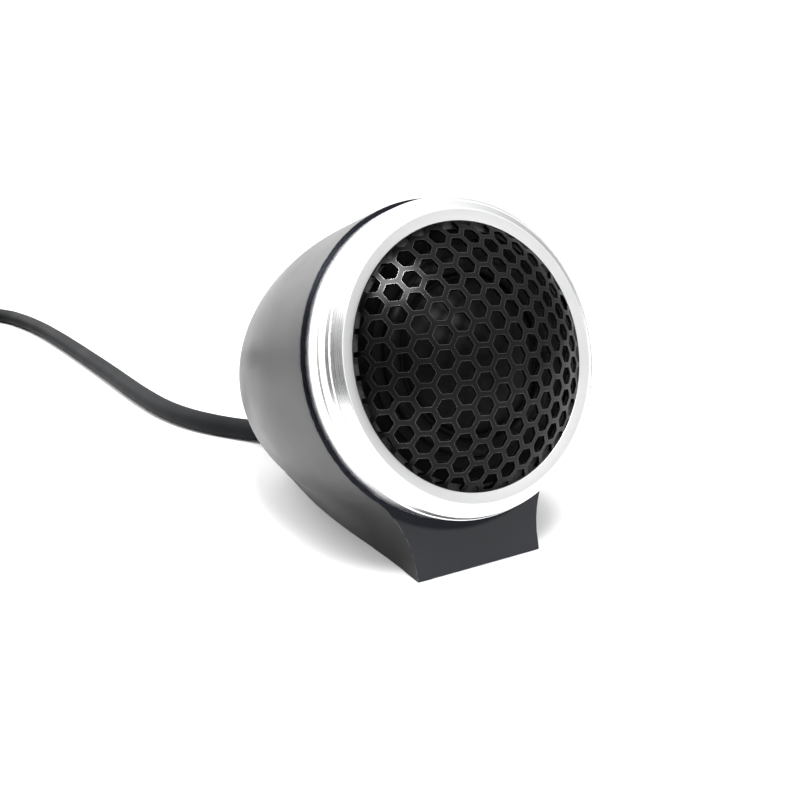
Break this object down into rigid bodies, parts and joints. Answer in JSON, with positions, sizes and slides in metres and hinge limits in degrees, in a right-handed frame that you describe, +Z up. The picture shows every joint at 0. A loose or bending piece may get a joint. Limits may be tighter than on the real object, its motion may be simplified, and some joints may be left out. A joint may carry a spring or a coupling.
{
  "type": "car tweeter",
  "caption": "Soft-dome car tweeter in a black bullet-shaped pod on its own foot, with an aluminium trim ring, a domed hexagon-mesh grille and a round two-core cable.",
  "frame": {"origin": "middle of the foot's underside, on the mounting surface", "axes": "+Z is up from the mounting surface, the tweeter faces -Y and looks up by 17 degrees, and X is across the pod"},
  "size_m": [0.1191, 0.278, 0.0602],
  "materials": {
    "black_plastic": "satin black moulded plastic",
    "adhesive_foam": "black closed-cell foam tape",
    "machined_aluminium": "turned aluminium with fine turning lines",
    "black_steel": "satin black powder coat on perforated steel",
    "black_rubber": "black rubber",
    "steel": "zinc-plated steel",
    "coated_cloth": "black coated silk cloth",
    "copper_tone": "copper wire and amber film",
    "grey_felt": "grey felt and open foam",
    "brown_board": "brown phenolic board",
    "brass": "tinned brass",
    "blue_plastic": "blue plastic sleeve",
    "red_jacket": "red PVC insulation",
    "black_jacket": "black PVC jacket",
    "red_plastic": "red vinyl sleeve"
  },
  "bodies": {
    "pod": {"housing": "black_plastic", "mounting_pad": "adhesive_foam", "trim_ring": "machined_aluminium", "grille": "black_steel", "grille_gasket": "black_rubber", "faceplate": "black_plastic", "driver_screws": "steel", "surround": "coated_cloth", "pole_plate": "steel", "magnet": "steel", "yoke_cup": "steel", "damping_felt": "grey_felt", "terminal_board": "brown_board", "positive_terminal": "brass", "negative_terminal": "brass", "tinsel_leads": "copper_tone", "capacitor": "blue_plastic", "supply_wire_red": "red_jacket", "link_wire_red": "red_jacket", "return_wire_black": "black_jacket", "damping_foam": "grey_felt", "cable_grommet": "black_rubber", "cable": "black_jacket", "cable_coil": "black_jacket", "coil_tie": "black_plastic", "cable_sleeve": "black_jacket", "lead_red": "red_jacket", "lead_black": "black_jacket", "connector_red": "red_plastic", "connector_black": "black_plastic"},
    "diaphragm": {"dome": "coated_cloth", "coil_former": "copper_tone", "voice_coil": "copper_tone"}
  },
  "joints": [
    {"name": "diaphragm_excursion", "type": "slide", "parent": "pod", "child": "diaphragm", "axis": [0, -0.9563, 0.2924], "range_m": [-0.0005, 0.0005], "stiffness_N_per_m": 50, "deforming": ["surround", "tinsel_leads"]}
  ]
}
